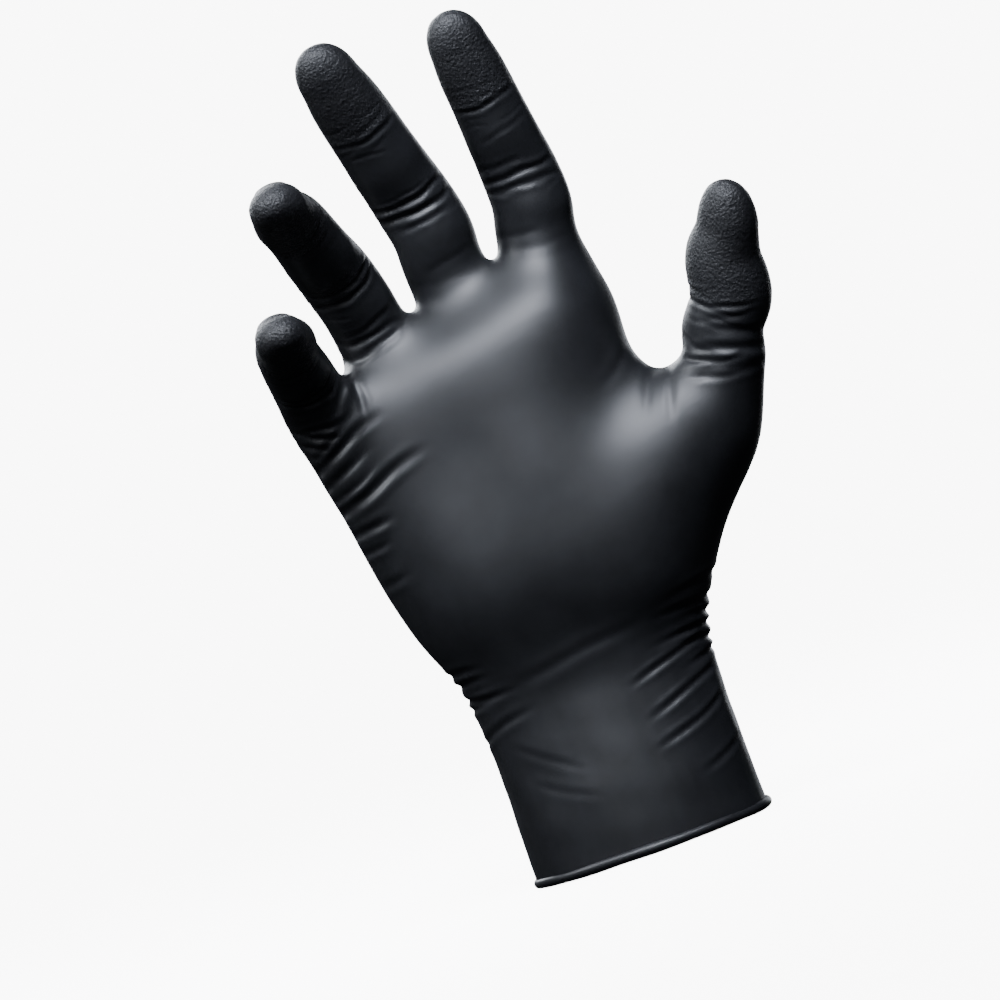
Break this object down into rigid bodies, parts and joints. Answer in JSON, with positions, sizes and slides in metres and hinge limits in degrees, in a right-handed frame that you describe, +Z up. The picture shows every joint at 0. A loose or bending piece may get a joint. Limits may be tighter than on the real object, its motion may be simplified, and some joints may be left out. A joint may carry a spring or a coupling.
{
  "type": "disposable glove",
  "caption": "Disposable dipped glove for a right hand in its worn shape, with a rolled cuff edge, gripping fingertips and folds that bend at the wrist and every knuckle.",
  "frame": {"origin": "middle of the cuff's opening, in the plane of the rolled edge's flat foot", "axes": "+Z up the forearm towards the fingers, -Y out of the palm, +X towards the thumb"},
  "size_m": [0.1401, 0.082, 0.2358],
  "materials": {
    "film": "satin",
    "grip_film": "satin"
  },
  "bodies": {
    "cuff": {"cuff": "film", "cuff_bead": "film"},
    "palm": {"palm": "film"},
    "index_lower": {"index_lower": "film"},
    "index_middle": {"index_middle": "film"},
    "index_tip": {"index_tip": "grip_film"},
    "middle_lower": {"middle_lower": "film"},
    "middle_middle": {"middle_middle": "film"},
    "middle_tip": {"middle_tip": "grip_film"},
    "ring_lower": {"ring_lower": "film"},
    "ring_middle": {"ring_middle": "film"},
    "ring_tip": {"ring_tip": "grip_film"},
    "little_lower": {"little_lower": "film"},
    "little_middle": {"little_middle": "film"},
    "little_tip": {"little_tip": "grip_film"},
    "thumb_lower": {"thumb_lower": "film"},
    "thumb_tip": {"thumb_tip": "grip_film"}
  },
  "joints": [
    {"name": "wrist_bend", "type": "hinge", "parent": "cuff", "child": "palm", "pos_m": [0, 0, 0.052], "axis": [1, 0, 0], "range_deg": [-35, 40]},
    {"name": "index_lower_bend", "type": "hinge", "parent": "palm", "child": "index_lower", "pos_m": [0.02625, -0.00128, 0.16543], "axis": [0.9929, -0.0694, -0.0967], "range_deg": [-8, 40]},
    {"name": "index_middle_bend", "type": "hinge", "parent": "index_lower", "child": "index_middle", "pos_m": [0.02785, -0.00364, 0.18361], "axis": [0.9942, -0.0695, 0.0818], "range_deg": [-10, 66]},
    {"name": "index_tip_bend", "type": "hinge", "parent": "index_middle", "child": "index_tip", "pos_m": [0.02558, -0.0104, 0.20547], "axis": [0.9932, -0.0695, 0.0937], "range_deg": [-5, 33]},
    {"name": "middle_lower_bend", "type": "hinge", "parent": "palm", "child": "middle_lower", "pos_m": [-0.0002, -0.00035, 0.16562], "axis": [0.9923, -0.1043, 0.0665], "range_deg": [-11, 38]},
    {"name": "middle_middle_bend", "type": "hinge", "parent": "middle_lower", "child": "middle_middle", "pos_m": [-0.00194, -0.0041, 0.1857], "axis": [0.9721, -0.1022, 0.2111], "range_deg": [-14, 66]},
    {"name": "middle_tip_bend", "type": "hinge", "parent": "middle_middle", "child": "middle_tip", "pos_m": [-0.00792, -0.01466, 0.20813], "axis": [0.974, -0.1024, 0.2022], "range_deg": [-7, 33]},
    {"name": "ring_lower_bend", "type": "hinge", "parent": "palm", "child": "ring_lower", "pos_m": [-0.0243, -0.00326, 0.15519], "axis": [0.9818, -0.1032, 0.1595], "range_deg": [-20, 28]},
    {"name": "ring_middle_bend", "type": "hinge", "parent": "ring_lower", "child": "ring_middle", "pos_m": [-0.0276, -0.01054, 0.17075], "axis": [0.9693, -0.1019, 0.2236], "range_deg": [-25, 54]},
    {"name": "ring_tip_bend", "type": "hinge", "parent": "ring_middle", "child": "ring_tip", "pos_m": [-0.03302, -0.0291, 0.1858], "axis": [0.9806, -0.1031, 0.1669], "range_deg": [-12.5, 27]},
    {"name": "little_lower_bend", "type": "hinge", "parent": "palm", "child": "little_lower", "pos_m": [-0.04485, -0.00812, 0.13785], "axis": [0.9962, -0.0697, 0.0521], "range_deg": [-22, 14]},
    {"name": "little_middle_bend", "type": "hinge", "parent": "little_lower", "child": "little_middle", "pos_m": [-0.04609, -0.01826, 0.14814], "axis": [0.9975, -0.0698, -0.0084], "range_deg": [-22, 56]},
    {"name": "little_tip_bend", "type": "hinge", "parent": "little_middle", "child": "little_tip", "pos_m": [-0.04722, -0.03521, 0.15547], "axis": [0.9949, -0.0696, -0.0728], "range_deg": [-11, 28]},
    {"name": "thumb_lower_bend", "type": "hinge", "parent": "palm", "child": "thumb_lower", "pos_m": [0.06011, -0.01295, 0.11712], "axis": [0.7264, -0.5086, -0.4622], "range_deg": [-12, 25]},
    {"name": "thumb_tip_bend", "type": "hinge", "parent": "thumb_lower", "child": "thumb_tip", "pos_m": [0.06715, -0.01698, 0.13263], "axis": [0.7396, -0.5179, -0.4298], "range_deg": [-18, 45]}
  ],
  "couplings": [
    {"joint": "index_tip_bend", "follows": "index_middle_bend", "ratio": 0.5},
    {"joint": "middle_tip_bend", "follows": "middle_middle_bend", "ratio": 0.5},
    {"joint": "ring_tip_bend", "follows": "ring_middle_bend", "ratio": 0.5},
    {"joint": "little_tip_bend", "follows": "little_middle_bend", "ratio": 0.5}
  ]
}
